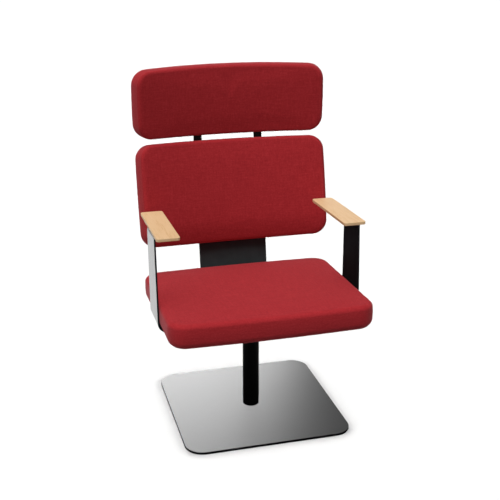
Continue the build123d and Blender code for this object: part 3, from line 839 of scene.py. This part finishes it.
@dataclass(kw_only=True)
class BowedPad(Pad):
    """Back or headrest: face to the front, bent round a vertical axis ahead of it."""

    width: float = 0.579
    thick: float = 0.060
    corner: float = 0.042
    face_round: float = 0.008
    back_round: float = 0.012
    bulge_across: float = 0.002
    bulge_along: float = 0.005
    bow: float = 0.857
    roll: float = 0.0
    roll_reach: float = 0.075

    def crest(self, across: np.ndarray, along: np.ndarray) -> np.ndarray:
        """Height of the face: the dome, less a parabola that rolls the face back towards its lower edge."""
        near = np.clip(1 - (along + self.height / 2) / self.roll_reach, 0, 1)
        return super().crest(across, along) - self.roll * near ** 2

    def lay(self, across: np.ndarray, along: np.ndarray, depth: np.ndarray) -> np.ndarray:
        """Bend the pad: across becomes an angle about the axis, depth adds to the radius, along is height.

        Args:
            across: places across the face.
            along: places along it.
            depth: depths behind it.

        Returns:
            Rows of x, y, z in the pad's frame.
        """
        angle = across / self.bow
        radius = self.bow + depth
        return np.stack([radius * np.sin(angle), radius * np.cos(angle) - self.bow, along], axis=1)

    def unlay(self, points: np.ndarray) -> Tuple[np.ndarray, np.ndarray, np.ndarray]:
        """Unbend points: the angle times the bow is across, and the radius less the bow is the depth.

        Args:
            points: rows of x, y, z in the pad's frame.

        Returns:
            Places across, along and behind the face.
        """
        angle = np.arctan2(points[:, 0], points[:, 1] + self.bow)
        radius = np.hypot(points[:, 0], points[:, 1] + self.bow)
        return angle * self.bow, points[:, 2], radius - self.bow


@dataclass
class Hardware:
    """The CAD nodes that stay: which finish each of them wears."""

    base_gloss: BlackLacquer = BlackLacquer(
        "black_lacquer_base", body_hex="080809", polished=Side.UPWARDS, coat_roughness=0.37, coat_ior=1.2)
    arm_gloss: BlackLacquer = BlackLacquer(
        "black_lacquer_arms", body_hex="17181A", polished=Side.SIDEWAYS, coat_from=0.4, coat_full=0.9)
    sheet_satin: BlackLacquer = BlackLacquer("black_lacquer_sheet", body_hex="343A3B", ior=1.08)
    # The tube's near-black colour is painted shade: blacker than the rest of the lacquer, it stands for the
    # shade under the seat; its roughness is its own matt finish.
    tube_matt_painted_shade: BlackLacquer = BlackLacquer("black_lacquer_tube_painted_shade", body_hex="020202", roughness=0.6, ior=1.1)
    beech: VarnishedBeech = VarnishedBeech("varnished_beech")
    ply: BirchPlywood = BirchPlywood("birch_plywood")
    zinc: ZincPlate = ZincPlate("zinc_plate")
    nylon: MouldedNylon = MouldedNylon("moulded_nylon")

    def finish_of(self, part: dict) -> Optional[Finish]:
        """Pick a node's finish: its own where it has one, or else that of its material slot.

        Args:
            part: the node's row in the record.

        Returns:
            The finish, or None for a cushion, because a pad takes its place.
        """
        own = {
            "base_plate": self.base_gloss, "column_tube": self.tube_matt_painted_shade, "spindle": self.tube_matt_painted_shade,
            "left_arm_plate": self.arm_gloss, "right_arm_plate": self.arm_gloss}
        by_slot = {
            Slot.LACQUER: self.sheet_satin, Slot.BEECH: self.beech, Slot.PLYWOOD: self.ply,
            Slot.ZINC: self.zinc, Slot.PLASTIC: self.nylon}
        return own.get(part["node"]) or by_slot.get(Slot(part["material_slot"]))

    def dress(self, nodes: Dict[str, bpy.types.Object], subparts: List[dict]) -> None:
        """Give every rigid node its finish.

        Args:
            nodes: the CAD nodes by name.
            subparts: the record's list of nodes and material slots.
        """
        for part in subparts:
            finish = self.finish_of(part)
            if finish is None:
                continue
            piece = nodes[part["node"]]
            material = finish.material()
            if not piece.material_slots:
                piece.data.materials.append(material)
            for slot in piece.material_slots:
                slot.material = material
            LOG.info("%s: %s", part["node"], material.name)


@dataclass
class Camera:
    """The photograph's camera, found from the straight edges of the base, arms and pads.

    Its place is in metres, and its yaw, pitch and roll are in degrees.
    """

    place: Tuple[float, float, float] = (-0.67564, -2.52450, 1.45518)
    yaw: float = 14.938
    pitch: float = 19.761
    roll: float = -0.062
    focal_pixels: float = 936.96
    image_pixels: float = 500.0
    sensor_mm: float = 36.0
    far_clip: float = 100.0

    def build(self) -> None:
        """Set up the camera and make it the scene's own."""
        data = bpy.data.cameras.new("photo_camera")
        data.sensor_width = self.sensor_mm
        data.lens = self.focal_pixels * self.sensor_mm / self.image_pixels
        data.clip_end = self.far_clip
        yaw, pitch = math.radians(self.yaw), math.radians(self.pitch)
        level = math.cos(pitch)
        ahead = Vector((math.sin(yaw) * level, math.cos(yaw) * level, -math.sin(pitch)))
        right = ahead.cross(Vector((0, 0, 1))).normalized()
        turn = Matrix((right, right.cross(ahead), -ahead)).transposed()
        turn = turn @ Matrix.Rotation(math.radians(self.roll), 3, "Z")
        camera = bpy.data.objects.new("photo_camera", data)
        camera.matrix_world = Matrix.Translation(self.place) @ turn.to_4x4()
        bpy.context.scene.collection.objects.link(camera)
        bpy.context.scene.camera = camera


@dataclass
class Studio:
    """A white floor under a soft pale sky and one broad lamp, high in front to the left.

    A tall panel behind to the left shows in the gloss of the base. Four low lamps, one on each side, light
    the floor alone, and the base's edge shades it from them. Sizes are in metres and angles in degrees.
    """

    floor_size: float = 60.0
    floor_hex: str = "BCBCBC"
    bounce_hex: str = "585858"
    low_level: float = 5.3
    low_height: float = 16.0
    low_spread: float = 32.0
    horizon: float = 0.06
    rise: float = 0.3
    leftward: float = 0.2
    lamp_level: float = 2.62
    lamp_spread: float = 45.0
    lamp_from: Tuple[float, float, float] = (-0.2, -0.33, 0.92)
    panel_from: Tuple[float, float, float] = (-0.2, 1.6, 0.675)
    panel_size: Tuple[float, float] = (1.5, 1.35)
    panel_watts: float = 111.0
    panel_lean: float = -26.0
    unshaded: ClassVar[Tuple[str, ...]] = (
        "left_arm_plate", "right_arm_plate", "left_armrest", "right_armrest")

    def seen(self, tree: bpy.types.NodeTree) -> bpy.types.NodeSocket:
        """Find the rays that show the background itself: from the camera, by reflection or through glass.

        Args:
            tree: the node tree of the floor or the sky.

        Returns:
            A socket that is one on such rays and nothing on the others.
        """
        path = add(tree, "ShaderNodeLightPath").outputs
        rays = path["Is Camera Ray"]
        for kind in ("Is Glossy Ray", "Is Transmission Ray"):
            rays = add(tree, "ShaderNodeMath", {0: rays, 1: path[kind]}, operation="MAXIMUM").outputs[0]
        return rays

    def sky(self) -> None:
        """Light the scene from a sky that brightens upwards and to the left, seen as plain white.

        The level is the horizon's plus the direction's height times the rise, less its x times the leftward
        part.
        """
        world = bpy.data.worlds.new("studio")
        bpy.context.scene.world = world
        world.use_nodes = True
        tree = world.node_tree
        tree.nodes.clear()
        up = add(tree, "ShaderNodeTexCoord").outputs["Generated"]
        slope = {0: up, 1: (-self.leftward, 0.0, self.rise)}
        climb = add(tree, "ShaderNodeVectorMath", slope, operation="DOT_PRODUCT").outputs["Value"]
        level = add(tree, "ShaderNodeMath", {0: climb, 1: self.horizon}, operation="ADD").outputs[0]
        level = add(tree, "ShaderNodeMath", {0: level, 1: 0.0}, operation="MAXIMUM").outputs[0]
        shown = add(tree, "ShaderNodeMix", {0: self.seen(tree), 2: level, 3: 1.0}).outputs[0]
        glow = add(tree, "ShaderNodeBackground", {"Color": linear("FFFFFF"), "Strength": shown})
        add(tree, "ShaderNodeOutputWorld", {"Surface": glow.outputs[0]})

    def floor(self) -> bpy.types.Object:
        """Lay a floor that shows white with a faint shadow of the base, and throws less light back up.

        Returns:
            The floor object.
        """
        half = self.floor_size / 2
        corners = half * np.array([(-1, -1, 0), (1, -1, 0), (1, 1, 0), (-1, 1, 0)])
        mesh = bpy.data.meshes.new("floor")
        mesh.from_pydata(corners.tolist(), [], [(0, 1, 2, 3)])
        made = bpy.data.materials.new("pale_floor")
        made.use_nodes = True
        tree = made.node_tree
        tree.nodes.clear()
        shown = {0: self.seen(tree), 6: linear(self.bounce_hex), 7: linear(self.floor_hex)}
        colour = add(tree, "ShaderNodeMix", shown, data_type="RGBA").outputs[2]
        matt = add(tree, "ShaderNodeBsdfDiffuse", {"Color": colour}).outputs[0]
        add(tree, "ShaderNodeOutputMaterial", {"Surface": matt})
        mesh.materials.append(made)
        floor = bpy.data.objects.new("floor", mesh)
        bpy.context.scene.collection.objects.link(floor)
        return floor

    @staticmethod
    def hang(name: str, kind: Lamp, place: Vector, aim: Vector, power: float) -> bpy.types.Object:
        """Hang a lamp that the camera doesn't see.

        Args:
            name: the lamp's name.
            kind: sun or panel.
            place: where it hangs.
            aim: the point it faces.
            power: watts, or for a sun its level.

        Returns:
            The lamp object.
        """
        data = bpy.data.lights.new(name, kind.value)
        data.energy = power
        lamp = bpy.data.objects.new(name, data)
        lamp.location = place
        lamp.rotation_euler = (aim - place).to_track_quat("-Z", "Y").to_euler()
        lamp.visible_camera = False
        bpy.context.scene.collection.objects.link(lamp)
        return lamp

    @staticmethod
    def linked(
            name: str, pieces: List[bpy.types.Object],
            reach: Reach = Reach.ONLY_THESE) -> bpy.types.Collection:
        """Gather the pieces that a lamp reaches or is shaded by.

        Args:
            name: the collection's name.
            pieces: the objects in it.
            reach: whether it stands for these pieces or for all the others.

        Returns:
            The collection, for a lamp's light linking.
        """
        kept = bpy.data.collections.new(name)
        for piece in pieces:
            kept.objects.link(piece)
        for member in kept.collection_objects:
            member.light_linking.link_state = reach.value
        return kept

    def broad_lamp(self, nodes: Dict[str, bpy.types.Object], floor: bpy.types.Object) -> None:
        """Light the chair from high in front, with arms that let this light through to the seat.

        Args:
            nodes: the CAD nodes by name.
            floor: the floor, which this lamp leaves out.
        """
        lamp = self.hang("broad_lamp", Lamp.SUN, Vector(self.lamp_from), Vector(), self.lamp_level)
        lamp.data.angle = math.radians(self.lamp_spread)
        arms = [nodes[name] for name in self.unshaded]
        lamp.light_linking.blocker_collection = self.linked("lamp_passes", arms, Reach.ALL_BUT_THESE)
        lamp.light_linking.receiver_collection = self.linked("lamp_misses", [floor], Reach.ALL_BUT_THESE)

    def rear_panel(self, nodes: Dict[str, bpy.types.Object], floor: bpy.types.Object) -> None:
        """Stand a leaning panel behind the chair that shows in the base's gloss alone.

        Args:
            nodes: the CAD nodes by name.
            floor: the floor, the one thing that shades the panel.
        """
        across, _, height = self.panel_from
        aim = Vector((across, 0.0, height))
        panel = self.hang("rear_panel", Lamp.PANEL, Vector(self.panel_from), aim, self.panel_watts)
        panel.rotation_euler.rotate_axis("Z", math.radians(self.panel_lean))
        panel.data.shape = "RECTANGLE"
        panel.data.size, panel.data.size_y = self.panel_size
        panel.visible_diffuse = False
        panel.data.cycles.use_multiple_importance_sampling = False
        panel.light_linking.receiver_collection = self.linked("panel_shows_in", [nodes["base_plate"]])
        panel.light_linking.blocker_collection = self.linked("panel_behind", [floor])

    def low_lamps(self, nodes: Dict[str, bpy.types.Object], floor: bpy.types.Object) -> None:
        """Light the floor from four low lamps, so that the base throws a faint shadow all round.

        Args:
            nodes: the CAD nodes by name.
            floor: the floor, which these lamps light alone.
        """
        shown = self.linked("floor_alone", [floor])
        shading = self.linked("base_alone", [nodes["base_plate"]])
        tall = math.tan(math.radians(self.low_height))
        for x, y in ((-1, 0), (1, 0), (0, -1), (0, 1)):
            low = self.hang("low_lamp", Lamp.SUN, Vector((x, y, tall)), Vector(), self.low_level)
            low.data.angle = math.radians(self.low_spread)
            low.light_linking.receiver_collection = shown
            low.light_linking.blocker_collection = shading

    def build(self, nodes: Dict[str, bpy.types.Object]) -> None:
        """Set up sky, floor, lamp, panel and the floor's own lamps.

        Args:
            nodes: the CAD nodes by name.
        """
        self.sky()
        floor = self.floor()
        self.broad_lamp(nodes, floor)
        self.rear_panel(nodes, floor)
        self.low_lamps(nodes, floor)


def main() -> None:
    """Build the chair's visual model and its studio."""
    logging.basicConfig(level=logging.INFO, format="%(name)s: %(message)s")
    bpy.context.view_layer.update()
    bpy.context.scene.view_settings.view_transform = "Standard"
    Camera().build()
    Studio().build(frame["nodes"])
    Hardware().dress(frame["nodes"], frame["record"]["subparts"])
    wool = WovenWool("woven_wool")
    pads = (
        SeatPad(name="seat_pad", node="seat_cushion", place=Frame(y=-0.045, z=0.0792, lean=0.0)),
        BowedPad(name="back_pad", node="back_cushion", place=Frame(y=0.19709, z=0.3177, lean=10.2),
                 height=0.3117, crown=0.0055, roll=0.012),
        BowedPad(name="headrest_pad", node="headrest_cushion", place=Frame(y=0.23108, z=0.5936, lean=-3.05),
                 height=0.2048, crown=0.0035))
    for pad in pads:
        piece = pad.build(wool)
        LOG.info("%s: %d points", piece.name, len(piece.data.vertices))


if __name__ == "__main__":
    main()
